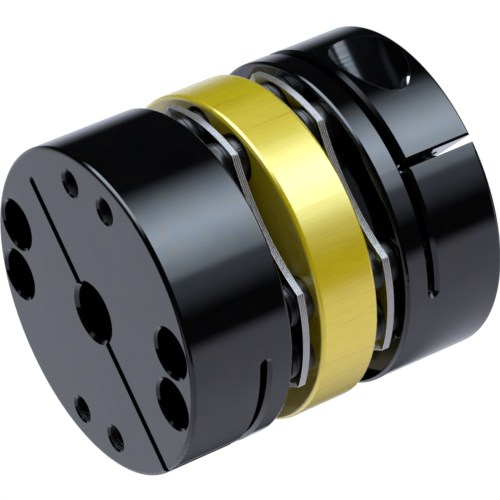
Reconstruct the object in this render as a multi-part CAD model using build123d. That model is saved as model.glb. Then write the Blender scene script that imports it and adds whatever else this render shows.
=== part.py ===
from build123d import *
import math
import os

# Double-disc clamp coupling, standing on its lower hub.
# Millimetres, +Z up along the shaft axis, origin in the middle of the lower end face.

# ---- overall ----
OUTER_D = 68.0            # hubs and spacer ring
HUB_LENGTH = 23.4
RING_WIDTH = 13.3
HUB_EDGE_RADIUS = 0.85
RING_EDGE_RADIUS = 0.85

# ---- shaft bore ----
BORE_D = 12.0
BORE_CHAMFER = 0.7

# ---- M5 disc screws with their collars and washers ----
SCREW_D = 5.0
SCREW_LENGTH = 10.0
SCREW_HEAD_D = 8.5
SCREW_HEAD_HEIGHT = 5.0
SCREW_KEY = 4.0
SCREW_KEY_DEPTH = 2.5
SCREW_EDGE = 0.4
SHANK_CLEARANCE = 0.1     # radial, round a shank in a leaf, collar or washer
COLLAR_WALL = 2.1         # radial, outside the screw
COLLAR_HEIGHT = 2.6
COLLAR_EDGE = 0.15
WASHER_HEIGHT = 1.2

# ---- screw pattern: four corners, two screws in each ----
PATTERN_MARGIN = 6.5      # screw circle to the outside of the hubs
HEAD_CLEARANCE = 0.85     # radial, round a screw head in its hole
PAIR_WALL = 1.7           # left between the two head holes of a corner
CORNER_ANGLE = 45.0       # first corner, measured from the slit
HOLE_CHAMFER = 0.5

# ---- spacer ring and disc packs ----
RING_WALL = 2.4           # between the ring's bore and its head holes
LEAF_COUNT = 4
LEAF_THICKNESS = 0.4
LEAF_INSET = 0.6          # leaf rim to the outside of the hubs
LEAF_WAIST_DEPTH = 5.9    # cut into the round at the middle of each side
LEAF_WAIST_RADIUS = 45.0
LEAF_INNER_MARGIN = 6.0   # screw circle to the leaf's bore
LEAF_CORNER_RADIUS = 1.0
LEAF_EDGE_CHAMFER = 0.05

# ---- clamp: slit, cross slot and M8 clamp screw ----
SLIT_WIDTH = 1.45
SLIT_END_MARGIN = 5.0     # closed end of the slit to the outside of the hub
SLIT_RIM_WIDTH = 0.65     # shallow bevel along each edge of the slit on the rim
SLIT_RIM_DEPTH = 0.23
SLIT_FACE_CHAMFER = 0.25
FLANGE_THICKNESS = 5.75   # left between the cross slot and the disc pack
SLOT_WIDTH = 1.5
SLOT_CHAMFER = 0.7
SLOT_TURN = 45.0          # middle of the slotted half, measured from the slit
CLAMP_D = 8.0
CLAMP_LENGTH = 16.0
CLAMP_HEAD_D = 13.0
CLAMP_HEAD_HEIGHT = 8.0
CLAMP_KEY = 6.0
CLAMP_KEY_DEPTH = 4.0
CLAMP_EDGE = 0.6
CLAMP_CLEARANCE = 0.5     # radial, round the shank in the near jaw
CLAMP_HEAD_CLEARANCE = 0.2
CLAMP_MARGIN = 9.8        # screw axis to the outside of the hub
RECESS_WALL = 1.2         # between the head's recess and the end face
CLAMP_SEAT = 7.0          # face under the head, from the middle of the slit
CLAMP_THREAD_DEPTH = 16.0 # from the middle of the slit

# ---- derived ----
R = OUTER_D / 2
PACK = LEAF_COUNT * LEAF_THICKNESS
GAP = PACK + 2 * COLLAR_HEIGHT
RING_BOTTOM = HUB_LENGTH + GAP
RING_TOP = RING_BOTTOM + RING_WIDTH
TOP_HUB_BOTTOM = RING_TOP + GAP
LENGTH = TOP_HUB_BOTTOM + HUB_LENGTH
LOWER_PACK_BOTTOM = HUB_LENGTH + COLLAR_HEIGHT
UPPER_PACK_BOTTOM = RING_TOP + COLLAR_HEIGHT
PATTERN_D = OUTER_D - 2 * PATTERN_MARGIN
COLLAR_D = SCREW_D + 2 * COLLAR_WALL
HEAD_HOLE_D = SCREW_HEAD_D + 2 * HEAD_CLEARANCE
PAIR_HALF_ANGLE = math.degrees(math.asin((HEAD_HOLE_D + PAIR_WALL) / PATTERN_D))
RING_INNER_D = PATTERN_D - HEAD_HOLE_D - 2 * RING_WALL
LEAF_D = OUTER_D - 2 * LEAF_INSET
LEAF_WAIST_CENTRE = LEAF_D / 2 - LEAF_WAIST_DEPTH + LEAF_WAIST_RADIUS
LEAF_INNER_D = PATTERN_D - 2 * LEAF_INNER_MARGIN
SLIT_END_RADIUS = R - SLIT_END_MARGIN
SLOT_MIDDLE = HUB_LENGTH - FLANGE_THICKNESS - SLOT_WIDTH / 2
CLAMP_HOLE_D = CLAMP_D + 2 * CLAMP_CLEARANCE
HEAD_RECESS_D = CLAMP_HEAD_D + 2 * CLAMP_HEAD_CLEARANCE
CLAMP_OFFSET = R - CLAMP_MARGIN
CLAMP_HEIGHT = HEAD_RECESS_D / 2 + RECESS_WALL

UP = (Align.CENTER, Align.CENTER, Align.MIN)


def rod(diameter, height, x=0.0, y=0.0, z=0.0):
    """Upright cylinder standing on height z."""
    return Pos(x, y, z) * Cylinder(diameter / 2, height, align=UP)


def countersink(diameter, depth, x, y, z, up):
    """Cone that breaks the edge of an upright hole at height z."""
    small = diameter / 2
    large = small + depth
    if up:
        return Pos(x, y, z - depth) * Cone(small, large, depth, align=UP)
    return Pos(x, y, z) * Cone(large, small, depth, align=UP)


def pair(corner):
    """Centres of the two screws at a corner angle."""
    spots = []
    for side in (-1, 1):
        a = math.radians(corner + side * PAIR_HALF_ANGLE)
        spots.append((PATTERN_D / 2 * math.cos(a), PATTERN_D / 2 * math.sin(a)))
    return spots


def corners(first):
    """Screw centres at two opposite corners."""
    return pair(first) + pair(first + 180)


# Corners where a disc pack is screwed to its hub, and where it is screwed to the ring.
HUB_CORNERS = corners(CORNER_ANGLE)
RING_CORNERS = corners(CORNER_ANGLE + 90)


def trapezoid(points, height):
    """Prism of a closed outline drawn in XY, extruded up."""
    return extrude(Polygon(*points, align=None), height)


def hub():
    """One clamp hub: outer end face at z = 0, flange up, slit towards +X, screw head towards +Y."""
    body = rod(OUTER_D, HUB_LENGTH)
    body = fillet(body.edges(), HUB_EDGE_RADIUS)
    body -= rod(BORE_D, HUB_LENGTH)
    body -= countersink(BORE_D, BORE_CHAMFER, 0, 0, 0, False)
    body -= countersink(BORE_D, BORE_CHAMFER, 0, 0, HUB_LENGTH, True)

    for x, y in HUB_CORNERS:
        body -= rod(SCREW_D, HUB_LENGTH, x, y)
        body -= countersink(SCREW_D, HOLE_CHAMFER, x, y, 0, False)
    for x, y in RING_CORNERS:
        body -= rod(HEAD_HOLE_D, HUB_LENGTH, x, y)
        body -= countersink(HEAD_HOLE_D, HOLE_CHAMFER, x, y, 0, False)
        body -= countersink(HEAD_HOLE_D, HOLE_CHAMFER, x, y, HUB_LENGTH, True)

    # slit through the bore: open at +X, closed at -X
    half = SLIT_WIDTH / 2
    closed = SLIT_END_RADIUS - half
    reach = R + 2
    body -= Pos(-closed, 0, 0) * Box(closed + reach, SLIT_WIDTH, SLOT_MIDDLE,
                                     align=(Align.MIN, Align.CENTER, Align.MIN))
    body -= rod(SLIT_WIDTH, SLOT_MIDDLE, -closed, 0)
    wide = half + SLIT_FACE_CHAMFER
    bevel = Plane.YZ * Polygon((-wide, 0), (wide, 0), (half, SLIT_FACE_CHAMFER),
                               (-half, SLIT_FACE_CHAMFER), align=None)
    body -= Pos(-closed, 0, 0) * extrude(bevel, closed + reach)
    body -= countersink(SLIT_WIDTH, SLIT_FACE_CHAMFER, -closed, 0, 0, False)
    deep = R - SLIT_RIM_DEPTH
    high = R + SLIT_RIM_DEPTH
    wide = half + 2 * SLIT_RIM_WIDTH
    body -= trapezoid(((deep, -half), (high, -wide), (high, wide), (deep, half)), SLOT_MIDDLE)

    # cross slot over one half of the section, with a full round bottom and broken edges
    turn = Rot(0, 0, SLOT_TURN)
    body -= turn * Pos(0, 0, SLOT_MIDDLE) * Box(reach, 2 * reach, SLOT_WIDTH,
                                                align=(Align.MIN, Align.CENTER, Align.CENTER))
    body -= turn * Pos(0, 0, SLOT_MIDDLE) * Rot(90, 0, 0) * Cylinder(SLOT_WIDTH / 2, 2 * reach)
    low = SLOT_WIDTH / 2
    high = low + SLOT_CHAMFER + 0.1
    deep = R - SLOT_CHAMFER
    ring = Plane.XZ * Polygon((deep, -low), (R + 0.1, -high), (R + 0.1, high), (deep, low), align=None)
    ring = Pos(0, 0, SLOT_MIDDLE) * revolve(ring, Axis.Z)
    ring &= turn * Pos(0, 0, SLOT_MIDDLE) * Box(reach, 2 * reach, 4 * high,
                                                align=(Align.MIN, Align.CENTER, Align.CENTER))
    body -= ring
    for side in (-1, 1):
        end = Rot(side * -90, 0, 0) * Cone(low, high, SLOT_CHAMFER + 0.1, align=UP)
        body -= turn * Pos(0, side * deep, SLOT_MIDDLE) * end

    # clamp screw across the slit: recess, clearance hole, then thread in the other jaw
    across = Pos(CLAMP_OFFSET, 0, CLAMP_HEIGHT) * Rot(-90, 0, 0)
    body -= across * rod(HEAD_RECESS_D, R, 0, 0, CLAMP_SEAT)
    body -= across * rod(CLAMP_HOLE_D, CLAMP_SEAT)
    body -= across * rod(CLAMP_D, CLAMP_THREAD_DEPTH, 0, 0, -CLAMP_THREAD_DEPTH)
    return body


def spacer_ring():
    """Centre ring: plain holes for the heads at the hub corners, tapped holes between them."""
    body = rod(OUTER_D, RING_WIDTH)
    body = fillet(body.edges(), RING_EDGE_RADIUS)
    body -= rod(RING_INNER_D, RING_WIDTH)
    for diameter, spots in ((HEAD_HOLE_D, HUB_CORNERS), (SCREW_D, RING_CORNERS)):
        for x, y in spots:
            body -= rod(diameter, RING_WIDTH, x, y)
            body -= countersink(diameter, HOLE_CHAMFER / 2, x, y, 0, False)
            body -= countersink(diameter, HOLE_CHAMFER / 2, x, y, RING_WIDTH, True)
    return body


def leaf():
    """One spring-steel leaf: a round plate with four waisted sides and eight holes."""
    blank = Circle(LEAF_D / 2)
    for turn in range(4):
        blank -= Rot(0, 0, 90 * turn) * Pos(LEAF_WAIST_CENTRE, 0) * Circle(LEAF_WAIST_RADIUS)
    blank = fillet(blank.vertices(), LEAF_CORNER_RADIUS)
    body = extrude(blank, LEAF_THICKNESS)
    body = chamfer(body.edges().filter_by(Plane.XY), LEAF_EDGE_CHAMFER)
    body -= rod(LEAF_INNER_D, LEAF_THICKNESS)
    for x, y in HUB_CORNERS + RING_CORNERS:
        body -= rod(SCREW_D + 2 * SHANK_CLEARANCE, LEAF_THICKNESS, x, y)
    return body


def socket_screw(d, length, head_d, head_h, key, key_depth, edge):
    """Socket head screw, seat of the head at z = 0, shank down."""
    head = rod(head_d, head_h)
    head = chamfer(head.edges().group_by(Axis.Z)[-1], edge)
    hexagon = RegularPolygon(key / 2, 6, major_radius=False)
    head -= Pos(0, 0, head_h - key_depth) * extrude(hexagon, key_depth)
    shank = rod(d, length, 0, 0, -length)
    shank = chamfer(shank.edges().group_by(Axis.Z)[0], edge)
    return head + shank


def sleeve(height):
    """Plain turned collar or washer round a disc screw."""
    body = rod(COLLAR_D, height)
    body = chamfer(body.edges(), COLLAR_EDGE)
    return body - rod(SCREW_D + 2 * SHANK_CLEARANCE, height)


def put(node, shape):
    export_step(shape, "parts/" + node + ".step")


os.makedirs("parts", exist_ok=True)

one_hub = hub()
FLIP = Pos(0, 0, LENGTH) * Rotation(180, 0, 0) * Rot(0, 0, 90)
put("bottom_hub", one_hub)
put("top_hub", FLIP * one_hub)
put("spacer_ring", Pos(0, 0, RING_BOTTOM) * spacer_ring())

one_leaf = leaf()
for i in range(LEAF_COUNT):
    put("lower_leaf_%d" % (i + 1), Pos(0, 0, LOWER_PACK_BOTTOM + i * LEAF_THICKNESS) * one_leaf)
    put("upper_leaf_%d" % (i + 1), Pos(0, 0, UPPER_PACK_BOTTOM + i * LEAF_THICKNESS) * one_leaf)

disc_screw = socket_screw(SCREW_D, SCREW_LENGTH, SCREW_HEAD_D, SCREW_HEAD_HEIGHT,
                          SCREW_KEY, SCREW_KEY_DEPTH, SCREW_EDGE)
collar = sleeve(COLLAR_HEIGHT)
washer = sleeve(WASHER_HEIGHT)

# Each stack: which pack, which corners, and whether its heads point up.
STACKS = (
    ("lower_hub", LOWER_PACK_BOTTOM, HUB_CORNERS, True),
    ("lower_ring", LOWER_PACK_BOTTOM, RING_CORNERS, False),
    ("upper_hub", UPPER_PACK_BOTTOM, HUB_CORNERS, False),
    ("upper_ring", UPPER_PACK_BOTTOM, RING_CORNERS, True),
)
for name, pack_bottom, spots, heads_up in STACKS:
    pack_top = pack_bottom + PACK
    if heads_up:
        collar_z = pack_bottom - COLLAR_HEIGHT
        washer_z = pack_top
        seat = Pos(0, 0, pack_top + WASHER_HEIGHT)
    else:
        collar_z = pack_top
        washer_z = pack_bottom - WASHER_HEIGHT
        seat = Pos(0, 0, washer_z) * Rot(180, 0, 0)
    for i, (x, y) in enumerate(spots):
        put("%s_screw_%d" % (name, i + 1), Pos(x, y, 0) * seat * disc_screw)
    for i, letter in enumerate("ab"):
        two = spots[2 * i:2 * i + 2]
        put("%s_collars_%s" % (name, letter), Compound([Pos(x, y, collar_z) * collar for x, y in two]))
        put("%s_washers_%s" % (name, letter), Compound([Pos(x, y, washer_z) * washer for x, y in two]))

clamp_screw = socket_screw(CLAMP_D, CLAMP_LENGTH, CLAMP_HEAD_D, CLAMP_HEAD_HEIGHT,
                           CLAMP_KEY, CLAMP_KEY_DEPTH, CLAMP_EDGE)
in_hub = Pos(CLAMP_OFFSET, CLAMP_SEAT, CLAMP_HEIGHT) * Rot(-90, 0, 0) * clamp_screw
put("bottom_clamp_screw", in_hub)
put("top_clamp_screw", FLIP * in_hub)
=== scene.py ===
"""Dresses the double-disc clamp coupling: finishes on its turned parts, made screws, collars and threads,
and a studio."""

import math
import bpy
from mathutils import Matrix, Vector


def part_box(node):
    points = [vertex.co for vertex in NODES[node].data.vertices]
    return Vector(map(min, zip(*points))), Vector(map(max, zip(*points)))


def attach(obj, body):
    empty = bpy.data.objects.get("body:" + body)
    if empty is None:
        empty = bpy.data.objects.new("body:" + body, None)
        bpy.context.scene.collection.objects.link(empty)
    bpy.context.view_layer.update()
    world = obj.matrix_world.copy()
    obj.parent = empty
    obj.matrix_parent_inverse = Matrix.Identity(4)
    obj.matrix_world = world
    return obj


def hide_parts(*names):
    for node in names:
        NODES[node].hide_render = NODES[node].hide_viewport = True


bl_info = {
    "name": "Disc Coupling",
    "version": (1, 0, 0),
    "blender": (4, 5, 0),
    "location": "3D View > Sidebar > Coupling",
    "description": "Finishes, screws and studio of a double-disc clamp coupling",
    "category": "Object",
}

import bmesh
import bpy
from mathutils import Matrix, Vector

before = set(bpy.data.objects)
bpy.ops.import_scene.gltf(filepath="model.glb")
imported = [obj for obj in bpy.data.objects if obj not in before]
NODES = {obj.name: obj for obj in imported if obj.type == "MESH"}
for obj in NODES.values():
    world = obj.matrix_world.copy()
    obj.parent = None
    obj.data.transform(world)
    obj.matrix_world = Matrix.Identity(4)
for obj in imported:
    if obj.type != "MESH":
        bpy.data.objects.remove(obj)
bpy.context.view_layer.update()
MM = 0.001

# Where the CAD puts things, read from its nodes.
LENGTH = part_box("top_hub")[1].z
PACK_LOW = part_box("lower_leaf_1")[0].z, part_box("lower_leaf_4")[1].z
PACK_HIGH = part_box("upper_leaf_1")[0].z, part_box("upper_leaf_4")[1].z

# Each stack of screws, washers and collars: its pack, its first corner in degrees, and whether heads are up.
STACKS = {
    "lower_hub": (PACK_LOW, 45.0, True),
    "lower_ring": (PACK_LOW, 135.0, False),
    "upper_hub": (PACK_HIGH, 45.0, False),
    "upper_ring": (PACK_HIGH, 135.0, True),
}


def linear(code):
    """An sRGB hex colour as a scene-linear RGBA value."""
    parts = [int(code[i:i + 2], 16) / 255 for i in (1, 3, 5)]
    return tuple(c / 12.92 if c <= 0.04045 else ((c + 0.055) / 1.055) ** 2.4 for c in parts) + (1.0,)


# ---------------------------------------------------------------- settings

def length(name, description, mm):
    """A length setting, given in millimetres."""
    return bpy.props.FloatProperty(name=name, description=description, default=mm * MM, unit="LENGTH",
                                   precision=5)


def colour(name, description, code):
    """A colour setting, given in sRGB hex."""
    return bpy.props.FloatVectorProperty(name=name, description=description, default=linear(code), size=4,
                                         subtype="COLOR", min=0.0, max=1.0)


def angle(name, description, degrees):
    """An angle setting, given in degrees."""
    return bpy.props.FloatProperty(name=name, description=description, default=math.radians(degrees),
                                   unit="ROTATION")


class CouplingSizes(bpy.types.PropertyGroup):
    """Sizes of the made pieces."""
    pattern_radius: length("Screw Circle", "Radius of the circle the disc screws stand on", 27.5)
    pair_gap: length("Pair Gap", "Between the two screws of a corner, middle to middle", 11.9)
    screw_d: length("Screw", "Thread size of a disc screw", 5.0)
    screw_pitch: length("Screw Pitch", "Thread pitch of a disc screw", 0.8)
    screw_length: length("Screw Length", "Under the head of a disc screw", 10.0)
    head_d: length("Head", "Diameter of a disc screw's head", 8.5)
    head_h: length("Head Height", "Height of a disc screw's head", 5.0)
    head_edge: length("Head Edge", "Rounding of a disc screw's head", 0.5)
    head_plain: length("Head Plain", "Height left plain above a disc screw's knurl", 1.2)
    head_teeth: bpy.props.IntProperty(name="Head Teeth", description="Knurl teeth round a disc screw's head",
                                      default=42, min=12, max=90)
    key: length("Key", "Across the flats of a disc screw's socket", 4.0)
    key_depth: length("Key Depth", "Depth of a disc screw's socket", 2.5)
    collar_d: length("Collar", "Outside diameter of collars and washers", 9.2)
    collar_h: length("Collar Height", "Height of a collar", 2.6)
    sleeve_edge: length("Sleeve Edge", "Rounding of collars and washers", 0.2)
    sleeve_gap: length("Sleeve Gap", "Bore of collars and washers over the screw they sit on", 0.2)
    washer_h: length("Washer Height", "Height of a washer", 1.2)
    leaf_ease: length("Leaf Ease", "Width of the eased edge round each leaf", 0.09)
    clamp_d: length("Clamp Screw", "Thread size of a clamp screw", 8.0)
    clamp_pitch: length("Clamp Pitch", "Thread pitch of a clamp screw", 1.25)
    clamp_length: length("Clamp Length", "Under the head of a clamp screw", 16.0)
    clamp_head_d: length("Clamp Head", "Diameter of a clamp screw's head", 13.0)
    clamp_head_h: length("Clamp Head Height", "Height of a clamp screw's head", 8.0)
    clamp_edge: length("Clamp Edge", "Rounding of a clamp screw's head", 1.2)
    clamp_plain: length("Clamp Plain", "Height left plain above a clamp screw's knurl", 4.6)
    clamp_teeth: bpy.props.IntProperty(name="Clamp Head Teeth", description="Knurl teeth round a clamp head",
                                       default=63, min=12, max=120)
    clamp_key: length("Clamp Key", "Across the flats of a clamp screw's socket", 6.0)
    clamp_key_depth: length("Clamp Key Depth", "Depth of a clamp screw's socket", 4.0)


class CouplingColours(bpy.types.PropertyGroup):
    """Colours of the finishes."""
    black: colour("Black Anodising", "Dyed oxide film on the hubs", "#060607")
    yellow: colour("Yellow Anodising", "Dyed oxide film on the spacer ring", "#F3DC06")
    steel: colour("Spring Steel", "Bright stainless strip of the disc packs", "#D9D9DC")
    oxide: colour("Black Oxide", "Oiled black oxide on screws, collars and washers", "#0A0A0B")
    floor: colour("Floor", "Table and background", "#FFFFFF")


class CouplingStudio(bpy.types.PropertyGroup):
    """Camera and light."""
    camera_turn: angle("Camera Turn", "Camera's bearing round the shaft axis, from +X", -4.991)
    camera_rise: angle("Camera Rise", "Camera's height above the end face", 27.684)
    camera_roll: angle("Camera Roll", "Lean of the camera to its right", 112.763)
    camera_distance: length("Camera Distance", "From the lens to the aim point", 797.2)
    aim: bpy.props.FloatVectorProperty(name="Aim", description="Point in the middle of the picture",
                                       default=(0.00007, -0.00054, 0.03687), subtype="TRANSLATION")
    lens: bpy.props.FloatProperty(name="Lens", description="Focal length on a 36 mm sensor, in mm",
                                  default=290.67)
    key_power: bpy.props.FloatProperty(name="Key Power", description="Power of the lamp on the +Y side",
                                       default=8.0, subtype="POWER")
    fill_power: bpy.props.FloatProperty(name="Fill Power", description="Power of the lamp on the -Y side",
                                        default=6.5, subtype="POWER")
    ambient: bpy.props.FloatProperty(name="Ambient", description="Even light from all round", default=0.04)


SETTINGS = {"coupling_sizes": CouplingSizes, "coupling_colours": CouplingColours,
            "coupling_studio": CouplingStudio}


def settings():
    """The scene's sizes, colours and studio."""
    return [getattr(bpy.context.scene, name) for name in SETTINGS]


def pair_half(sizes):
    """Angle from the middle of a corner to each of its two screws."""
    return math.asin(sizes.pair_gap / 2 / sizes.pattern_radius)


# ---------------------------------------------------------------- nodes

def add(tree, kind, links=None, stops=None, **values):
    """Adds one node and gives back its outputs. kind may leave out ShaderNode, links maps inputs to values
    or to other nodes' outputs, and stops are a colour ramp's. Inputs that share a name go by number: Math
    has its operands at 0 to 2, Map Range its value at 0, its range at 1 and 2 and what that becomes at 3 and
    4, and Mix its factor at 0, numbers at 2 and 3 and colours at 6 and 7."""
    node = tree.nodes.new(kind if "Node" in kind else "ShaderNode" + kind)
    for name, value in values.items():
        setattr(node, name, value)
    for key, value in (links or {}).items():
        if isinstance(value, bpy.types.NodeSocket):
            tree.links.new(value, node.inputs[key])
        else:
            node.inputs[key].default_value = value
    if stops:
        ramp = node.color_ramp
        while len(ramp.elements) < len(stops):
            ramp.elements.new(1.0)
        for element, (place, value) in zip(ramp.elements, stops):
            element.position = place
            element.color = value
    return node.outputs


def material(name):
    """A new material with an empty node tree."""
    made = bpy.data.materials.new(name)
    made.use_nodes = True
    made.node_tree.nodes.clear()
    return made, made.node_tree


def finish(made, surface):
    """Ends a material's tree with its surface, and gives the material back."""
    add(made.node_tree, "OutputMaterial", {"Surface": surface})
    return made


def assign(obj, made):
    """Gives an object one material."""
    obj.data.materials.clear()
    obj.data.materials.append(made)


# ---------------------------------------------------------------- finishes

# Masks reach a little past the walls that they mark.
POCKET_REACH = 6.78 * MM    # round a clamp screw's line, for a pocket of 6.7 mm radius
SEAT_REACH = 0.2 * MM       # below the seat of a clamp screw's head
TAPPED_REACH = 2.6 * MM     # round a disc screw's line, for a tapped hole of 2.5 mm radius
# The rims of the leaves turn from sheared to turned between these distances from the axis.
RIM_FROM, RIM_TO = 32.9 * MM, 33.3 * MM


def off_by(t, x, y):
    """How far the point (x, y) is from zero."""
    point = add(t, "CombineXYZ", {0: x, 1: y})[0]
    return add(t, "VectorMath", {0: point}, operation="LENGTH")["Value"]


def from_axis(t, place):
    """The coordinates of a place, and its distance from the shaft's axis."""
    axes = add(t, "SeparateXYZ", {0: place})
    return axes, off_by(t, axes[0], axes[1])


def specks(t, place, lattice, channel, rare, core, rim):
    """Mask of round specks, in the cells of a lattice whose random channel is over rare. Each is whole out
    to core and gone at rim, both in cells."""
    cells = add(t, "TexVoronoi", {"Vector": place, "Scale": 1 / lattice})
    draw = add(t, "SeparateXYZ", {0: cells["Color"]})[channel]
    chosen = add(t, "Math", {0: draw, 1: rare}, operation="GREATER_THAN")[0]
    speck = add(t, "MapRange", {0: cells["Distance"], 1: core, 2: rim, 3: 1.0, 4: 0.0},
                interpolation_type="SMOOTHSTEP")[0]
    return add(t, "Math", {0: speck, 1: chosen}, operation="MULTIPLY")[0]


def clamp_pockets(t, axes):
    """Mask of the two pockets that are milled down to the clamp screws' seats, and the ribs that the
    cutter's chatter leaves round their walls, 0.9 mm apart."""
    mask = ribs = 0.0
    for name, over, along, way in (("bottom_clamp_screw", 0, 1, 1), ("top_clamp_screw", 1, 0, -1)):
        low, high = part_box(name)
        middle = (low + high) / 2
        seat = max(low[along] * way, high[along] * way) - settings()[0].clamp_head_h
        aside = add(t, "Math", {0: axes[over], 1: middle[over]}, operation="SUBTRACT")[0]
        above = add(t, "Math", {0: axes[2], 1: middle[2]}, operation="SUBTRACT")[0]
        within = add(t, "Math", {0: off_by(t, aside, above), 1: POCKET_REACH}, operation="LESS_THAN")[0]
        beyond = add(t, "Math", {0: axes[along], 1: float(way)}, operation="MULTIPLY")[0]
        beyond = add(t, "Math", {0: beyond, 1: seat - SEAT_REACH}, operation="GREATER_THAN")[0]
        within = add(t, "Math", {0: within, 1: beyond}, operation="MULTIPLY")[0]
        deep = add(t, "CombineXYZ", {0: axes[along]})[0]
        rib = add(t, "TexNoise", {"Vector": deep, "Scale": 1 / (0.9 * MM), "Detail": 1.0})[0]
        ribs = add(t, "Math", {0: rib, 1: within, 2: ribs}, operation="MULTIPLY_ADD")[0]
        mask = add(t, "Math", {0: mask, 1: within}, operation="MAXIMUM")[0]
    return mask, ribs


def tapped_holes(t, axes, radius):
    """Mask of everything within reach of a disc screw's line."""
    sizes = settings()[0]
    turn = add(t, "Math", {0: axes[1], 1: axes[0]}, operation="ARCTAN2")[0]
    # The bearing is folded onto one corner, then onto one half of it, and counted from that half's screw.
    for operation, value in (("WRAP", math.pi / 2), ("SUBTRACT", math.pi / 4), ("ABSOLUTE", 0.0),
                             ("SUBTRACT", pair_half(sizes))):
        turn = add(t, "Math", {0: turn, 1: value, 2: 0.0}, operation=operation)[0]
    round_by = add(t, "Math", {0: turn, 1: sizes.pattern_radius}, operation="MULTIPLY")[0]
    out_by = add(t, "Math", {0: radius, 1: sizes.pattern_radius}, operation="SUBTRACT")[0]
    return add(t, "Math", {0: off_by(t, round_by, out_by), 1: TAPPED_REACH}, operation="LESS_THAN")[0]


def black_anodised_aluminium(tint):
    """Turned aluminium, black dyed and sealed: a glassy clear oxide film over black, so it shows the room
    sharply, with the faintest turning lines, a few small pits under the film and a few specks of dust."""
    made, t = material("finish_black_anodised_aluminium")
    place = add(t, "TexCoord")["Object"]
    axes, radius = from_axis(t, place)

    # Turning lines: 0.1 mm feed, drawn 0.35 mm wide so that they show at all. They follow radius and height.
    across = add(t, "CombineXYZ", {0: radius, 2: axes[2]})[0]
    lines = add(t, "TexNoise", {"Vector": across, "Scale": 1 / (0.35 * MM), "Roughness": 0.6})[0]
    # The faces roll by a hair, over 14 mm.
    swell = add(t, "TexNoise", {"Vector": place, "Scale": 1 / (14 * MM)})[0]
    # Pits 0.2 mm across, in one of twelve cells of a 1.8 mm lattice.
    pit = specks(t, place, 1.8 * MM, 0, 0.92, 0.03, 0.09)
    # The pockets are duller, and so are the tapped holes, whose walls are as the drill left them.
    pocket, ribs = clamp_pockets(t, axes)
    drilled = tapped_holes(t, axes, radius)
    # How high each of them stands, in mm.
    height = 0.0
    for pattern, tall in ((lines, 0.0004), (swell, 0.012), (pit, -0.01), (ribs, 0.05)):
        height = add(t, "Math", {0: pattern, 1: tall, 2: height}, operation="MULTIPLY_ADD")[0]
    bump = add(t, "Bump", {"Height": height, "Strength": 1.0, "Distance": 1 * MM})[0]

    # The dye lies unevenly: warm and blue clouds a few millimetres across, barely above black.
    cloud = add(t, "TexNoise", {"Vector": place, "Scale": 1 / (4 * MM), "Detail": 4.0, "Roughness": 0.65})[0]
    dye = add(t, "ValToRGB", {0: cloud},
              stops=[(0.35, linear("#04060A")), (0.5, tint), (0.65, linear("#0B080A"))])[0]
    # Dust 0.12 mm across.
    mote = specks(t, place, 1.6 * MM, 1, 0.93, 0.02, 0.06)
    dye = add(t, "Mix", {0: mote, 6: dye, 7: linear("#4A4A4E")}, data_type="RGBA")[2]

    film = add(t, "TexNoise", {"Vector": place, "Scale": 1 / (9 * MM), "Detail": 5.0, "Roughness": 0.6})[0]
    rough = add(t, "MapRange", {0: film, 1: 0.3, 2: 0.7, 3: 0.045, 4: 0.085})[0]
    for mask, duller in ((pit, 0.3), (pocket, 0.15), (drilled, 0.45)):
        rough = add(t, "Math", {0: mask, 1: duller, 2: rough}, operation="MULTIPLY_ADD")[0]
    # The film is not quite one thickness: its reflection drifts between warm and blue, a shade up and down.
    drift = add(t, "TexNoise", {"Vector": place, "Scale": 1 / (3 * MM), "Detail": 5.0, "Roughness": 0.7})[0]
    sheen = add(t, "ValToRGB", {0: drift},
                stops=[(0.3, linear("#EAF1FF")), (0.5, linear("#F5F5F8")), (0.7, linear("#FDF6F0"))])[0]
    level = add(t, "MapRange", {0: film, 1: 0.25, 2: 0.75, 3: 0.46, 4: 0.54})[0]
    body = add(t, "BsdfPrincipled", {"Base Color": dye, "Roughness": rough, "IOR": 1.7,
                                     "Specular IOR Level": level, "Specular Tint": sheen, "Normal": bump})[0]
    return finish(made, body)


def yellow_anodised_aluminium(tint):
    """Turned aluminium, yellow dyed: the metal shows through the dye as a soft yellow sheen with hair-fine
    lines along the axis, and the clear oxide over it adds a paler, sharper one."""
    made, t = material("finish_yellow_anodised_aluminium")
    place = add(t, "TexCoord")["Object"]

    # Polished along the axis: lines 0.25 mm apart and some 5 mm long, and broader ones 2.2 mm apart.
    drawn = add(t, "Mapping", {"Vector": place, "Scale": (1.0, 1.0, 0.05)})[0]
    lines = add(t, "TexNoise", {"Vector": drawn, "Scale": 1 / (0.25 * MM)})[0]
    broad = add(t, "TexNoise", {"Vector": drawn, "Scale": 1 / (2.2 * MM)})[0]
    bump = add(t, "Bump", {"Height": lines, "Strength": 1.0, "Distance": 0.0008 * MM})[0]

    streak = add(t, "Mix", {0: 0.3, 2: lines, 3: broad}, data_type="FLOAT")[0]
    dye = add(t, "ValToRGB", {0: streak},
              stops=[(0.3, linear("#EACB08")), (0.5, tint), (0.7, linear("#F8E21C"))])[0]
    rough = add(t, "MapRange", {0: broad, 1: 0.3, 2: 0.7, 3: 0.27, 4: 0.31})[0]
    body = add(t, "BsdfPrincipled", {"Base Color": dye, "Metallic": 0.24, "Roughness": rough,
                                     "Normal": bump, "Coat Weight": 1.0, "Coat Roughness": 0.23,
                                     "Coat IOR": 2.0, "Coat Normal": bump})[0]
    return finish(made, body)


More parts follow.
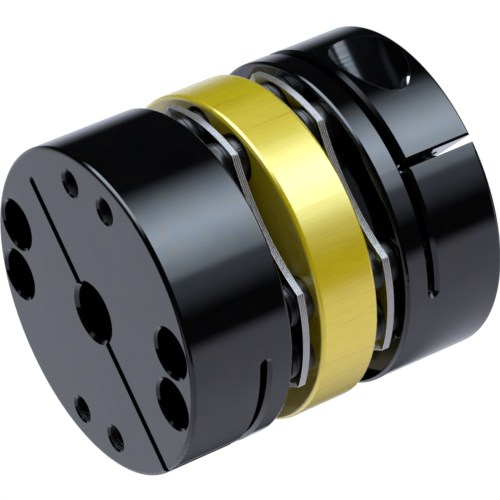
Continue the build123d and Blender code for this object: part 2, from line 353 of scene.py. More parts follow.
def bright_spring_steel(tint):
    """Cold-rolled stainless strip: mirror-bright faces with hair-fine rolling lines, and sheared edges that
    are dull grey with fine upright tears and a few dark specks."""
    made, t = material("finish_stainless_spring_steel")
    place = add(t, "TexCoord")["Object"]
    radius = from_axis(t, place)[1]
    up = add(t, "SeparateXYZ", {0: add(t, "NewGeometry")["Normal"]})[2]
    up = add(t, "Math", {0: up}, operation="ABSOLUTE")[0]
    face = add(t, "MapRange", {0: up, 1: 0.3, 2: 0.9}, interpolation_type="SMOOTHSTEP")[0]

    # Rolling lines 0.15 mm apart and some 10 mm long, across the flats.
    drawn = add(t, "Mapping", {"Vector": place, "Scale": (0.02, 1.0, 1.0)})[0]
    rolled = add(t, "TexNoise", {"Vector": drawn, "Scale": 1 / (0.15 * MM)})[0]
    # The sheared edge: upright tears 0.16 mm apart, and dark specks some 0.45 mm apart.
    torn = add(t, "Mapping", {"Vector": place, "Scale": (1.0, 1.0, 0.3)})[0]
    tears = add(t, "TexNoise", {"Vector": torn, "Scale": 1 / (0.16 * MM), "Roughness": 0.6})[0]
    speck = add(t, "TexNoise", {"Vector": place, "Scale": 1 / (0.45 * MM)})[0]
    # The round parts of the rim are turned after shearing, and so are smoother than the waists.
    turned = add(t, "MapRange", {0: radius, 1: RIM_FROM, 2: RIM_TO}, interpolation_type="SMOOTHSTEP")[0]
    # Heights in mm: tears of 6 microns at the waists and 1.5 at the turned rim, rolling lines of 0.4.
    torn_by = add(t, "MapRange", {0: turned, 3: 0.006, 4: 0.0015})[0]
    edge_height = add(t, "Math", {0: tears, 1: torn_by}, operation="MULTIPLY")[0]
    face_height = add(t, "Math", {0: rolled, 1: 0.0004}, operation="MULTIPLY")[0]
    height = add(t, "Mix", {0: face, 2: edge_height, 3: face_height}, data_type="FLOAT")[0]
    bump = add(t, "Bump", {"Height": height, "Strength": 1.0, "Distance": 1 * MM})[0]

    grey = add(t, "Mix", {0: 0.7, 2: tears, 3: speck}, data_type="FLOAT")[0]
    even = add(t, "Math", {0: turned, 1: 0.8}, operation="MULTIPLY")[0]
    grey = add(t, "Mix", {0: even, 2: grey, 3: 0.52}, data_type="FLOAT")[0]
    edge = add(t, "ValToRGB", {0: grey},
               stops=[(0.34, linear("#343434")), (0.41, linear("#9C9A99")), (0.62, linear("#BAB8B7"))])[0]
    shade = add(t, "Mix", {0: face, 6: edge, 7: tint}, data_type="RGBA")[2]
    metal = add(t, "MapRange", {0: face, 3: 0.4, 4: 1.0})[0]
    rough = add(t, "MapRange", {0: face, 3: 0.42, 4: 0.06})[0]
    body = add(t, "BsdfPrincipled", {"Base Color": shade, "Metallic": metal, "Roughness": rough,
                                     "Normal": bump})[0]
    return finish(made, body)


def oiled_black_oxide(tint):
    """Alloy steel blackened in a hot oxide bath and oiled: near black with a soft gloss, and a brown or blue
    cast here and there."""
    made, t = material("finish_black_oxide_steel")
    place = add(t, "TexCoord")["Object"]
    grain = add(t, "TexNoise", {"Vector": place, "Scale": 1 / (0.3 * MM)})[0]
    cast = add(t, "TexNoise", {"Vector": place, "Scale": 1 / (2.5 * MM)})[0]
    bump = add(t, "Bump", {"Height": grain, "Strength": 1.0, "Distance": 0.0015 * MM})[0]
    shade = add(t, "ValToRGB", {0: cast},
                stops=[(0.35, linear("#0C0A09")), (0.5, tint), (0.65, linear("#090B0E"))])[0]
    rough = add(t, "MapRange", {0: grain, 1: 0.3, 2: 0.7, 3: 0.3, 4: 0.38})[0]
    body = add(t, "BsdfPrincipled", {"Base Color": shade, "Roughness": rough, "IOR": 1.65,
                                     "Normal": bump})[0]
    return finish(made, body)


# Each slot's finish, and the colour setting that tints it.
FINISHES = {
    "black_anodised_aluminium": (black_anodised_aluminium, "black"),
    "yellow_anodised_aluminium": (yellow_anodised_aluminium, "yellow"),
    "stainless_spring_steel": (bright_spring_steel, "steel"),
    "black_oxide_steel": (oiled_black_oxide, "oxide"),
}


def finish_of(slot):
    """The one material of a slot, made when it is first asked for."""
    maker, tint = FINISHES[slot]
    return bpy.data.materials.get("finish_" + slot) or maker(tuple(getattr(settings()[1], tint)))


# ---------------------------------------------------------------- meshes

# Rounded edges from face to side: how far in and how far down, in edge widths.
HEAD_ROUND = ((1.5, 0.0), (1.1, 0.08), (0.62, 0.33), (0.28, 0.7), (0.06, 1.2))
SLEEVE_ROUND = ((1.2, 0.0), (0.55, 0.2), (0.15, 0.6), (0.0, 1.2))
POINTS_PER_TOOTH = 4
POINTS_PER_THREAD = 48
POINTS_PER_SLEEVE = 72
ROWS_PER_PITCH = 6
RUNOUT_ROWS = 9             # rows over which a thread rises out of the plain shank


def revolve(bm, rings, count, caps=True):
    """Joins rings of points into a skin. rings gives, for each turn angle, (radius, height) in order."""
    rows = []
    for ring in rings:
        row = []
        for i in range(count):
            a = 2 * math.pi * i / count
            r, z = ring(a)
            row.append(bm.verts.new((r * math.cos(a), r * math.sin(a), z)))
        rows.append(row)
    pairs = list(zip(rows, rows[1:]))
    if not caps:
        pairs.append((rows[-1], rows[0]))
    for one, two in pairs:
        for i in range(count):
            j = (i + 1) % count
            bm.faces.new((one[i], two[i], two[j], one[j]))
    if caps:
        for row in (rows[0], rows[-1]):
            centre = bm.verts.new((0, 0, sum(v.co.z for v in row) / count))
            for i in range(count):
                bm.faces.new((row[i], row[(i + 1) % count], centre))


def as_mesh(bm, name, sharp=35.0):
    """Turns a bmesh into an object at the origin, outward normals, smooth but for its sharp edges."""
    bmesh.ops.remove_doubles(bm, verts=bm.verts, dist=1e-8)
    bmesh.ops.recalc_face_normals(bm, faces=bm.faces)
    for face in bm.faces:
        face.smooth = True
    for edge in bm.edges:
        edge.smooth = edge.calc_face_angle(0.0) < math.radians(sharp)
    mesh = bpy.data.meshes.new(name)
    bm.to_mesh(mesh)
    bm.free()
    obj = bpy.data.objects.new(name, mesh)
    bpy.context.scene.collection.objects.link(obj)
    return obj


def circle(r, z):
    """A round ring."""
    return lambda a: (r, z)


def hexagon(flats, z):
    """A six-sided ring, by its width across the flats."""
    def ring(a):
        b = (a + math.pi / 6) % (math.pi / 3) - math.pi / 6
        return flats / 2 / math.cos(b), z
    return ring


def knurl(r, z, depth, teeth):
    """A ring with pointed teeth that reach the radius."""
    def ring(a):
        phase = (a * teeth / (2 * math.pi)) % 1.0
        return r - depth * abs(2 * phase - 1), z
    return ring


def screw_head(bm, d, head_d, head_h, edge, plain, key, key_depth, teeth):
    """Knurled socket head on z = 0: up the socket, over the rounded edge, down the knurl and under."""
    r = head_d / 2
    tooth = 0.008 * head_d
    floor = head_h - key_depth
    lip = 0.03 * key
    rings = [circle(key * 0.18, floor - key * 0.16), hexagon(key, floor), hexagon(key, head_h - lip),
             hexagon(key + 1.2 * lip, head_h - 0.4 * lip), circle(key / math.sqrt(3) + 1.6 * lip, head_h)]
    rings += [circle(r - edge * far, head_h - edge * down) for far, down in HEAD_ROUND]
    rings += [circle(r, head_h - plain + tooth), circle(r, head_h - plain),
              knurl(r, head_h - plain - tooth * 3, tooth, teeth), knurl(r, tooth * 8, tooth, teeth),
              circle(r - tooth, tooth * 6), circle(r - tooth * 1.4, tooth * 3), circle(r - tooth * 4, 0.0),
              circle(d * 0.3, 0.0)]
    revolve(bm, rings, teeth * POINTS_PER_TOOTH)


def screw_shank(bm, d, pitch, reach, root):
    """Shank down from z = 0, plain at first and then threaded to a chamfered end. It starts inside the
    head, root up."""
    minor = d / 2 - 0.61 * pitch
    smooth = reach * 0.28
    rows = int((reach - smooth) / pitch * ROWS_PER_PITCH)
    rings = [circle(d / 2 * 0.985, root), circle(d / 2 * 0.985, -smooth)]

    def thread(z, depth, chamfer):
        def ring(a):
            phase = (z / pitch + a / (2 * math.pi)) % 1.0
            crest = 1 - abs(2 * phase - 1)
            crest = min(1.0, max(0.0, crest * 1.25 - 0.08))
            return min(minor + (d / 2 - minor) * (1 - depth + depth * crest), chamfer), z
        return ring
    for i in range(rows + 1):
        z = -smooth - (reach - smooth) * i / rows
        depth = min(1.0, i / RUNOUT_ROWS)
        chamfer = min(d / 2 * 0.995, minor + (reach + z) * 1.1)
        rings.append(thread(z, depth, chamfer))
    revolve(bm, rings, POINTS_PER_THREAD)


def sleeve(height):
    """Turned collar or washer: a closed tube with rounded outer edges and small flats at its bore."""
    s = settings()[0]
    ro, ri, edge = s.collar_d / 2, (s.screw_d + s.sleeve_gap) / 2, s.sleeve_edge
    rings = [circle(ri, edge), circle(ri, height - edge), circle(ri + edge, height)]
    rings += [circle(ro - edge * far, height - edge * down) for far, down in SLEEVE_ROUND]
    rings += [circle(ro - edge * far, edge * down) for far, down in reversed(SLEEVE_ROUND)]
    rings.append(circle(ri + edge, 0.0))
    bm = bmesh.new()
    revolve(bm, rings, POINTS_PER_SLEEVE, caps=False)
    return bm


# ---------------------------------------------------------------- geometry nodes

CORNER_SOCKETS = {"Circle": "Float", "Half Angle": "Float", "First Corner": "Float", "Height": "Float",
                  "Material": "Material"}
REPEAT_SOCKETS = {"Piece": "Geometry", "Flip": "Float", "Spin": "Float", "Seed": "Int"}
THREAD_SOCKETS = {"Hole": "Float", "Pitch": "Float", "Depth": "Float"}


def tree_with(name, sockets):
    """A geometry node tree with the named inputs and the corners', and its input node's outputs."""
    tree = bpy.data.node_groups.new(name, "GeometryNodeTree")
    tree.interface.new_socket("Geometry", in_out="OUTPUT", socket_type="NodeSocketGeometry")
    for label, kind in (sockets | CORNER_SOCKETS).items():
        tree.interface.new_socket(label, in_out="INPUT", socket_type="NodeSocket" + kind)
    return tree, tree.nodes.new("NodeGroupInput").outputs


def set_at_corners(t, given, piece, turn):
    """Sets a piece at the four screws of two opposite corners, makes it real and ends the tree."""
    points = add(t, "GeometryNodePoints", {"Count": 4})[0]
    index = add(t, "GeometryNodeInputIndex")[0]
    half = add(t, "Math", {0: index, 1: 2.0}, operation="MODULO")[0]
    side = add(t, "Math", {0: half, 1: 2.0, 2: -1.0}, operation="MULTIPLY_ADD")[0]
    corner = add(t, "Math", {0: index, 1: 2.0}, operation="DIVIDE")[0]
    corner = add(t, "Math", {0: corner}, operation="FLOOR")[0]
    bearing = add(t, "Math", {0: corner, 1: math.pi, 2: given["First Corner"]}, operation="MULTIPLY_ADD")[0]
    bearing = add(t, "Math", {0: side, 1: given["Half Angle"], 2: bearing}, operation="MULTIPLY_ADD")[0]
    place = {2: given["Height"]}
    for axis, operation in ((0, "COSINE"), (1, "SINE")):
        share = add(t, "Math", {0: bearing}, operation=operation)[0]
        place[axis] = add(t, "Math", {0: share, 1: given["Circle"]}, operation="MULTIPLY")[0]
    place = add(t, "CombineXYZ", place)[0]
    points = add(t, "GeometryNodeSetPosition", {"Geometry": points, "Position": place})[0]
    made = add(t, "GeometryNodeInstanceOnPoints", {"Points": points, "Instance": piece, "Rotation": turn})[0]
    made = add(t, "GeometryNodeRealizeInstances", {"Geometry": made})[0]
    made = add(t, "GeometryNodeSetMaterial", {"Geometry": made, "Material": given["Material"]})[0]
    add(t, "NodeGroupOutput", {"Geometry": made})


def repeat_tree():
    """Sets the piece that comes in at each screw of two corners, flipped or not and turned at random."""
    t, given = tree_with("Repeat at corners", REPEAT_SOCKETS)
    draws = add(t, "FunctionNodeRandomValue", {"Min": 0.0, "Max": 1.0, "Seed": given["Seed"]},
                data_type="FLOAT")
    draw = [output for output in draws if output.enabled][0]
    spin = add(t, "Math", {0: draw, 1: given["Spin"]}, operation="MULTIPLY")[0]
    turn = add(t, "CombineXYZ", {0: given["Flip"], 2: spin})[0]
    set_at_corners(t, given, given["Piece"], turn)
    return t


def thread_tree():
    """Winds a three-sided ridge, turn against turn, up the wall of each tapped hole of two corners."""
    t, given = tree_with("Thread in holes", THREAD_SOCKETS)
    turns = add(t, "Math", {0: given["Depth"], 1: given["Pitch"]}, operation="DIVIDE")[0]
    # The ridge's middle stands 0.36 of the pitch inside the wall's metal, and its corners 0.6 off that.
    line = add(t, "Math", {0: given["Pitch"], 1: 0.36, 2: given["Hole"]}, operation="MULTIPLY_ADD")[0]
    size = add(t, "Math", {0: given["Pitch"], 1: 0.6}, operation="MULTIPLY")[0]
    wire = add(t, "GeometryNodeCurveSpiral", {"Resolution": 32, "Rotations": turns, "Start Radius": line,
                                              "End Radius": line, "Height": given["Depth"]})[0]
    wire = add(t, "GeometryNodeSetCurveNormal", {"Curve": wire}, mode="Z_UP")[0]
    ridge = add(t, "GeometryNodeCurvePrimitiveCircle", {"Resolution": 3, "Radius": size})[0]
    wound = add(t, "GeometryNodeCurveToMesh", {"Curve": wire, "Profile Curve": ridge, "Fill Caps": True})[0]
    set_at_corners(t, given, wound, (0.0, 0.0, 0.0))
    return t


def settle(obj, tree, values):
    """Runs a tree on an object with the given inputs, and keeps the result as its plain mesh."""
    modifier = obj.modifiers.new(tree.name, "NODES")
    modifier.node_group = tree
    for item in tree.interface.items_tree:
        if item.in_out == "INPUT" and item.name in values:
            modifier[item.identifier] = values[item.name]
    depsgraph = bpy.context.evaluated_depsgraph_get()
    mesh = bpy.data.meshes.new_from_object(obj.evaluated_get(depsgraph))
    obj.modifiers.clear()
    old, obj.data = obj.data, mesh
    bpy.data.meshes.remove(old)
    mesh.name = obj.name
    if not mesh.polygons:
        raise ValueError(obj.name + " came out empty")


def corner_values(first, height, slot):
    """The inputs that both trees take."""
    sizes = settings()[0]
    return {"Circle": sizes.pattern_radius, "Half Angle": pair_half(sizes),
            "First Corner": math.radians(first), "Height": height, "Material": finish_of(slot)}


def repeated(bm, name, first, height, seed, flip=False):
    """A black oxide piece set at each of the four screws of a stack, turned by up to a radian at random."""
    obj = as_mesh(bm, name)
    values = corner_values(first, height, "black_oxide_steel")
    values.update({"Flip": math.pi if flip else 0.0, "Spin": 1.0, "Seed": seed})
    settle(obj, bpy.data.node_groups.get("Repeat at corners") or repeat_tree(), values)
    return obj


# ---------------------------------------------------------------- operators

class Piece:
    """What the operators share."""
    bl_options = {"REGISTER", "UNDO"}


class COUPLING_OT_hubs(Piece, bpy.types.Operator):
    """Gives both clamp hubs their black anodised finish"""
    bl_idname = "coupling.hubs"
    bl_label = "Clamp Hubs"

    def execute(self, context):
        for name in ("bottom_hub", "top_hub"):
            assign(NODES[name], finish_of("black_anodised_aluminium"))
        return {"FINISHED"}


class COUPLING_OT_spacer_ring(Piece, bpy.types.Operator):
    """Gives the spacer ring its yellow anodised finish"""
    bl_idname = "coupling.spacer_ring"
    bl_label = "Spacer Ring"

    def execute(self, context):
        assign(NODES["spacer_ring"], finish_of("yellow_anodised_aluminium"))
        return {"FINISHED"}


def ease_rim(bm, low, high, ease):
    """Draws a leaf's outer rim in at both faces, by ease there and by nothing ease deep. The bore and the
    screw holes keep their edges."""
    sizes = settings()[0]
    rim_from = sizes.pattern_radius - 3 * MM
    hole_reach = sizes.screw_d / 2 + 1 * MM
    screws = []
    for corner in (45, 135, 225, 315):
        for side in (-1, 1):
            a = math.radians(corner) + side * pair_half(sizes)
            screws.append(Vector((math.cos(a), math.sin(a))) * sizes.pattern_radius)
    for z in (low + ease, high - ease):
        bmesh.ops.bisect_plane(bm, geom=bm.verts[:] + bm.edges[:] + bm.faces[:],
                               plane_co=(0, 0, z), plane_no=(0, 0, 1))
    bm.normal_update()
    shifts = []
    for v in bm.verts:
        spot = v.co.xy
        near = min(v.co.z - low, high - v.co.z)
        if near > ease - 1e-7 or spot.length < rim_from:
            continue
        if min((spot - screw).length for screw in screws) < hole_reach:
            continue
        out = sum((f.normal for f in v.link_faces if abs(f.normal.z) < 0.9), Vector())
        out.z = 0.0
        if out.length > 0:
            shifts.append((v, out.normalized() * (ease - near)))
    for v, shift in shifts:
        v.co -= shift


class COUPLING_OT_disc_packs(Piece, bpy.types.Operator):
    """Eases the rim of every leaf of both disc packs, so that each leaf reads as a sheet of its own"""
    bl_idname = "coupling.disc_packs"
    bl_label = "Disc Packs"

    def execute(self, context):
        ease = settings()[0].leaf_ease
        for name in sorted(NODES):
            if "_leaf_" not in name:
                continue
            bm = bmesh.new()
            bm.from_mesh(NODES[name].data)
            bm.transform(NODES[name].matrix_world)
            bmesh.ops.remove_doubles(bm, verts=bm.verts, dist=1e-7)
            low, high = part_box(name)
            ease_rim(bm, low.z, high.z, ease)
            obj = as_mesh(bm, name + "_eased")
            assign(obj, finish_of("stainless_spring_steel"))
            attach(obj, "root")
            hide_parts(name)
        return {"FINISHED"}


class COUPLING_OT_disc_screws(Piece, bpy.types.Operator):
    """Makes the sixteen knurled socket head screws, four to a stack"""
    bl_idname = "coupling.disc_screws"
    bl_label = "Disc Screws"

    def execute(self, context):
        s = settings()[0]
        # Seeds start at 3, so that no screw is clocked like the collar of its stack.
        for seed, (stack, (pack, first, up)) in enumerate(STACKS.items(), 3):
            bm = bmesh.new()
            screw_head(bm, s.screw_d, s.head_d, s.head_h, s.head_edge, s.head_plain, s.key, s.key_depth,
                       s.head_teeth)
            screw_shank(bm, s.screw_d, s.screw_pitch, s.screw_length, s.head_h * 0.2)
            height = pack[1] + s.washer_h if up else pack[0] - s.washer_h
            obj = repeated(bm, stack + "_screws", first, height, seed, not up)
            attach(obj, "root")
            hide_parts(*["%s_screw_%d" % (stack, i) for i in (1, 2, 3, 4)])
        return {"FINISHED"}


class COUPLING_OT_collars(Piece, bpy.types.Operator):
    """Makes the collars that hold each disc pack off its hub or ring"""
    bl_idname = "coupling.collars"
    bl_label = "Collars"

    def execute(self, context):
        s = settings()[0]
        for seed, (stack, (pack, first, up)) in enumerate(STACKS.items()):
            height = pack[0] - s.collar_h if up else pack[1]
            obj = repeated(sleeve(s.collar_h), stack + "_collars", first, height, seed)
            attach(obj, "root")
            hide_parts(stack + "_collars_a", stack + "_collars_b")
        return {"FINISHED"}


class COUPLING_OT_washers(Piece, bpy.types.Operator):
    """Makes the washers under the screw heads"""
    bl_idname = "coupling.washers"
    bl_label = "Washers"

    def execute(self, context):
        s = settings()[0]
        for seed, (stack, (pack, first, up)) in enumerate(STACKS.items()):
            height = pack[1] if up else pack[0] - s.washer_h
            obj = repeated(sleeve(s.washer_h), stack + "_washers", first, height, seed)
            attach(obj, "root")
            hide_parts(stack + "_washers_a", stack + "_washers_b")
        return {"FINISHED"}


class COUPLING_OT_clamp_screws(Piece, bpy.types.Operator):
    """Makes the two clamp screws across the slits"""
    bl_idname = "coupling.clamp_screws"
    bl_label = "Clamp Screws"

    def execute(self, context):
        s = settings()[0]
        for name, axis in (("bottom_clamp_screw", "X"), ("top_clamp_screw", "Y")):
            low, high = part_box(name)
            seat = (low + high) / 2
            if axis == "X":
                seat.y = high.y - s.clamp_head_h
            else:
                seat.x = low.x + s.clamp_head_h
            bm = bmesh.new()
            screw_head(bm, s.clamp_d, s.clamp_head_d, s.clamp_head_h, s.clamp_edge, s.clamp_plain,
                       s.clamp_key, s.clamp_key_depth, s.clamp_teeth)
            screw_shank(bm, s.clamp_d, s.clamp_pitch, s.clamp_length, s.clamp_head_h * 0.2)
            bm.transform(Matrix.Translation(seat) @ Matrix.Rotation(-math.pi / 2, 4, axis))
            obj = as_mesh(bm, name + "_made")
            assign(obj, finish_of("black_oxide_steel"))
            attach(obj, "root")
            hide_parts(name)
        return {"FINISHED"}


class COUPLING_OT_hole_threads(Piece, bpy.types.Operator):
    """Winds threads in the tapped holes that stay open"""
    bl_idname = "coupling.hole_threads"
    bl_label = "Hole Threads"

    def execute(self, context):
        s = settings()[0]
        # Kept short: one hole of each hub opens into the clamp screw's pocket, 1.2 mm below the end face.
        lead, short, deep = 0.5 * MM, 0.8 * MM, 2.4 * MM
        slot = "black_anodised_aluminium"
        for name, stack, height, run in (("bottom_hub_threads", "lower_hub", lead, short),
                                         ("top_hub_threads", "upper_hub", LENGTH - lead - deep, deep)):
            obj = bpy.data.objects.new(name, bpy.data.meshes.new(name))
            context.scene.collection.objects.link(obj)
            values = corner_values(STACKS[stack][1], height, slot)
            values.update({"Hole": s.screw_d / 2, "Pitch": s.screw_pitch, "Depth": run})
            settle(obj, bpy.data.node_groups.get("Thread in holes") or thread_tree(), values)
            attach(obj, "root")
        return {"FINISHED"}


# ---------------------------------------------------------------- studio

# Cards and boxes of the studio that polished faces show, by bearing and height in degrees:
# bearing from and to with the softness of both sides, height from and to with theirs, colour, level.
PANELS = {
    "background card": (126, 270, 30, 80, -12, 74, 8, 62, "#EAEFFF", 1.20),
    "background card foot": (130, 197, 26, 9, -70, -8, 8, 8, "#E6ECFF", 0.9),
    "fill card": (185, 303, 60, 8, -20, 92, 8, 30, "#EBEDFF", 0.62),
    "fill card foot": (178, 312, 90, 12, -70, -16, 8, 8, "#EBEDFF", 0.80),
    "key box": (26, 97, 18, 16, -25, 53, 8, 36, "#E6F0FF", 5.6),
    "key box foot": (-13, 64, 38, 44, -70, -20, 8, 5, "#E0F1FF", 5.9),
    "key box rim": (351, 380, 6, 24, -70, -20, 8, 5, "#E0F1FF", 1.0),
    "edge card": (326, 366, 24, 20, -70, -16, 8, 8, "#DDEBFF", 0.6),
}
DARK_ROOM = (0.01, 0.01, 0.012)     # what polished faces show between the panels

# The two soft lamps: power setting, bearing in degrees, colour.
LAMPS = {
    "key_lamp": ("key_power", 78, "#F8FFF2"),
    "fill_lamp": ("fill_power", -55, "#FFFAF6"),
}
LAMP_SIZE = 0.7, 0.25
LAMP_DISTANCE = 0.9
LAMP_SLOPE = 0.04           # how far a lamp stands above the part's middle, as a share of its distance

TABLE_SIZE = 3.0
TABLE_Z = -0.02 * MM        # a hair under the end face, which must not lie in the table
CARD_Z = -0.01 * MM
CARD_FROM, CARD_TO = 34.2 * MM, 60 * MM         # inner and outer radius of the glowing card that paints the table's reflection
CARD_WHOLE, CARD_GONE = 38 * MM, 58 * MM        # where it starts and ends to fade
# Where the black card stands that paints a dark reflection into the lower hub's flange.
FLAG_X = -50 * MM
FLAG_Y = -45 * MM, -13 * MM
FLAG_Z = 32 * MM, 72 * MM


def studio_world(context, studio):
    """White for the camera, cards and boxes for polished faces, and even light for the rest."""
    world = bpy.data.worlds.new("Studio")
    context.scene.world = world
    world.use_nodes = True
    world.cycles.sampling_method = "NONE"
    t = world.node_tree
    t.nodes.clear()
    axes = add(t, "SeparateXYZ", {0: add(t, "TexCoord")["Generated"]})
    bearing = add(t, "Math", {0: axes[1], 1: axes[0]}, operation="ARCTAN2")[0]
    bearing = add(t, "Math", {0: bearing}, operation="DEGREES")[0]
    height = add(t, "Math", {0: axes[2]}, operation="ARCSINE")[0]
    height = add(t, "Math", {0: height}, operation="DEGREES")[0]
    total = add(t, "CombineXYZ", dict(enumerate(DARK_ROOM)))[0]
    for start, end, fade_in, fade_out, low, high, soft_low, soft_high, code, level in PANELS.values():
        turn = add(t, "Math", {0: bearing, 1: start + 360.0, 2: float(start)}, operation="WRAP")[0]
        window = level
        for value, outside, inside in ((turn, start, start + fade_in), (turn, end, end - fade_out),
                                       (height, low, low + soft_low), (height, high, high - soft_high)):
            side = add(t, "MapRange", {0: value, 1: float(min(outside, inside)),
                                       2: float(max(outside, inside)),
                                       3: float(outside > inside), 4: float(outside < inside)},
                       interpolation_type="SMOOTHSTEP")[0]
            window = add(t, "Math", {0: side, 1: window}, operation="MULTIPLY")[0]
        lit = add(t, "VectorMath", {0: linear(code)[:3], "Scale": window}, operation="SCALE")[0]
        total = add(t, "VectorMath", {0: total, 1: lit}, operation="ADD")[0]
    ray = add(t, "LightPath")
    even = (studio.ambient, studio.ambient, studio.ambient, 1.0)
    # A ray that has already left a matt surface gets the even light: the cards are there for mirrors only.
    first = add(t, "Math", {0: ray["Diffuse Depth"], 1: 0.5}, operation="LESS_THAN")[0]
    mirror = add(t, "Math", {0: ray["Is Glossy Ray"], 1: first}, operation="MULTIPLY")[0]
    shown = add(t, "Mix", {0: mirror, 6: even, 7: total}, data_type="RGBA", clamp_result=False)[2]
    open_ray = add(t, "Math", {0: ray["Is Camera Ray"], 1: ray["Is Transmission Ray"]},
                   operation="MAXIMUM")[0]
    shown = add(t, "Mix", {0: open_ray, 6: shown, 7: (1.0, 1.0, 1.0, 1.0)}, data_type="RGBA")[2]
    light = add(t, "Background", {"Color": shown, "Strength": 1.0})[0]
    add(t, "OutputWorld", {"Surface": light})


def floor_material(colours):
    """Matt white table top. Seen directly it is mostly a glow of its own colour, so that it reads as the
    white background, and the rest of it is lit, which keeps a soft shadow."""
    made, t = material("Matt white table top")
    ray = add(t, "LightPath")
    seen = add(t, "Math", {0: ray["Is Camera Ray"], 1: ray["Is Glossy Ray"]}, operation="MAXIMUM")[0]
    seen = add(t, "Math", {0: seen, 1: ray["Is Transmission Ray"]}, operation="MAXIMUM")[0]
    share = add(t, "Math", {0: seen, 1: 0.88}, operation="MULTIPLY")[0]
    matt = add(t, "BsdfDiffuse", {"Color": tuple(colours.floor)})[0]
    glow = add(t, "Emission", {"Color": tuple(colours.floor), "Strength": 1.125})[0]
    return finish(made, add(t, "MixShader", {0: share, 1: matt, 2: glow})[0])


def painted_table_reflection_material():
    """Glow that paints the reflection of the table top close by, for polished faces only: plain white,
    fading out away from the part.
    """
    made, t = material("White table near the part")
    place = add(t, "TexCoord")["Object"]
    far = add(t, "VectorMath", {0: place}, operation="LENGTH")["Value"]
    fade = add(t, "MapRange", {0: far, 1: CARD_WHOLE, 2: CARD_GONE, 3: 1.0, 4: 0.0},
               interpolation_type="SMOOTHSTEP")[0]
    # Painted reflection: this glow stands in for the lit table and shows in polished faces alone.
    glow = add(t, "Emission", {"Color": linear("#EBEDFF"), "Strength": 0.8})[0]
    clear = add(t, "BsdfTransparent")[0]
    made.cycles.emission_sampling = "NONE"
    return finish(made, add(t, "MixShader", {0: fade, 1: clear, 2: glow})[0])


def mirrors_only(card):
    """Leaves a card of the studio to be seen in polished faces alone."""
    card.visible_camera = card.visible_diffuse = card.visible_transmission = card.visible_shadow = False


def bounce_card():
    """Flat glowing card round the side of the part that faces away from the key box: it paints the table's
    reflection into polished faces and is seen nowhere else.
    """
    bm = bmesh.new()
    bearings = [math.radians(a) for a in range(-200, -39, 4)]
    inner, outer = ([bm.verts.new((radius * math.cos(a), radius * math.sin(a), CARD_Z)) for a in bearings]
                    for radius in (CARD_FROM, CARD_TO))
    for i in range(len(bearings) - 1):
        bm.faces.new((inner[i], outer[i], outer[i + 1], inner[i + 1]))
    card = as_mesh(bm, "bounce_card")
    assign(card, painted_table_reflection_material())
    mirrors_only(card)


def black_flag():
    """Black card standing behind the part, seen in polished faces only, which paints a dark reflection into
    the lower hub's flange in place of the background.
    """
    bm = bmesh.new()
    (left, right), (low, high) = FLAG_Y, FLAG_Z
    corners = ((left, low), (right, low), (right, high), (left, high))
    bm.faces.new([bm.verts.new((FLAG_X, y, z)) for y, z in corners])
    flag = as_mesh(bm, "black_flag")
    # Painted dark reflection: a black sheet seen only in polished faces, which casts no shadow.
    made, t = material("Black velvet card")
    assign(flag, finish(made, add(t, "BsdfDiffuse", {"Color": (0.0, 0.0, 0.0, 1.0)})[0]))
    mirrors_only(flag)


def set_lamps(scene, studio):
    """Two soft lamps that light matt surfaces and show in no mirror."""
    for name, (power, bearing, tone) in LAMPS.items():
        lamp = bpy.data.lights.new(name, "AREA")
        lamp.shape = "RECTANGLE"
        lamp.size, lamp.size_y = LAMP_SIZE
        lamp.energy = getattr(studio, power)
        lamp.color = linear(tone)[:3]
        lit = bpy.data.objects.new(name, lamp)
        scene.collection.objects.link(lit)
        a = math.radians(bearing)
        toward = Vector((math.cos(a), math.sin(a), LAMP_SLOPE)).normalized()
        lit.location = toward * LAMP_DISTANCE + Vector((0, 0, LENGTH / 2))
        lit.rotation_euler = toward.to_track_quat("Z", "Y").to_euler()
        lit.visible_glossy = False


def set_camera(scene, studio):
    """The camera, looking at the aim point from its bearing and height, rolled."""
    eye = bpy.data.cameras.new("Camera")
    eye.lens, eye.sensor_width = studio.lens, 36.0
    eye.clip_start, eye.clip_end = 0.05, 20.0
    camera = bpy.data.objects.new("camera", eye)
    scene.collection.objects.link(camera)
    turn, rise = studio.camera_turn, studio.camera_rise
    back = Vector((math.cos(rise) * math.cos(turn), math.cos(rise) * math.sin(turn), math.sin(rise)))
    look = back.to_track_quat("Z", "Y").to_matrix()
    camera.matrix_world = (Matrix.Translation(Vector(studio.aim) + back * studio.camera_distance)
                           @ (look @ Matrix.Rotation(-studio.camera_roll, 3, "Z")).to_4x4())
    scene.camera = camera


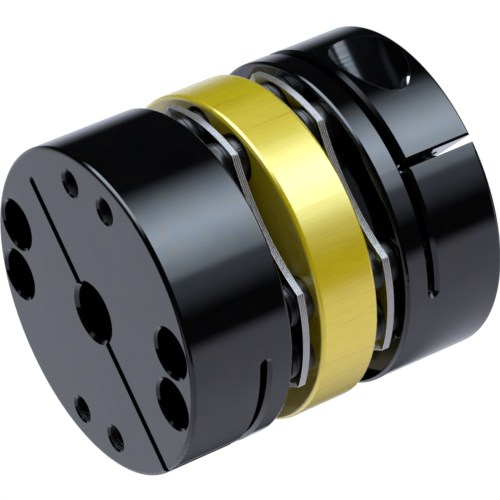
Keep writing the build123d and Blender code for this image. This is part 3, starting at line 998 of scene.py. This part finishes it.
class COUPLING_OT_stage(Piece, bpy.types.Operator):
    """Sets the table, the studio light and the camera"""
    bl_idname = "coupling.stage"
    bl_label = "Stage"

    def execute(self, context):
        sizes, colours, studio = settings()
        context.scene.view_settings.view_transform = "Standard"
        bm = bmesh.new()
        bmesh.ops.create_grid(bm, x_segments=1, y_segments=1, size=TABLE_SIZE)
        bmesh.ops.translate(bm, verts=bm.verts, vec=(0, 0, TABLE_Z))
        table = as_mesh(bm, "table")
        assign(table, floor_material(colours))
        table.visible_glossy = False
        bounce_card()
        black_flag()
        studio_world(context, studio)
        set_lamps(context.scene, studio)
        set_camera(context.scene, studio)
        return {"FINISHED"}


# ---------------------------------------------------------------- add-on

STEPS = (COUPLING_OT_stage, COUPLING_OT_hubs, COUPLING_OT_spacer_ring, COUPLING_OT_disc_packs,
         COUPLING_OT_disc_screws, COUPLING_OT_collars, COUPLING_OT_washers, COUPLING_OT_clamp_screws,
         COUPLING_OT_hole_threads)


class COUPLING_PT_panel(bpy.types.Panel):
    """Lists the steps and the settings"""
    bl_idname = "COUPLING_PT_panel"
    bl_label = "Disc Coupling"
    bl_space_type = "VIEW_3D"
    bl_region_type = "UI"
    bl_category = "Coupling"

    def draw(self, context):
        layout = self.layout
        for step in STEPS:
            layout.operator(step.bl_idname)
        for group in settings():
            box = layout.box()
            for name in group.__annotations__:
                box.prop(group, name)


CLASSES = tuple(SETTINGS.values()) + STEPS + (COUPLING_PT_panel,)


def register():
    for cls in CLASSES:
        bpy.utils.register_class(cls)
    for name, group in SETTINGS.items():
        setattr(bpy.types.Scene, name, bpy.props.PointerProperty(type=group))


def unregister():
    for name in SETTINGS:
        delattr(bpy.types.Scene, name)
    for cls in reversed(CLASSES):
        bpy.utils.unregister_class(cls)


def main():
    register()
    bpy.ops.coupling.stage()
    bpy.ops.coupling.hubs()
    bpy.ops.coupling.spacer_ring()
    bpy.ops.coupling.disc_packs()
    bpy.ops.coupling.disc_screws()
    bpy.ops.coupling.collars()
    bpy.ops.coupling.washers()
    bpy.ops.coupling.clamp_screws()
    bpy.ops.coupling.hole_threads()


if __name__ == "__main__":
    main()
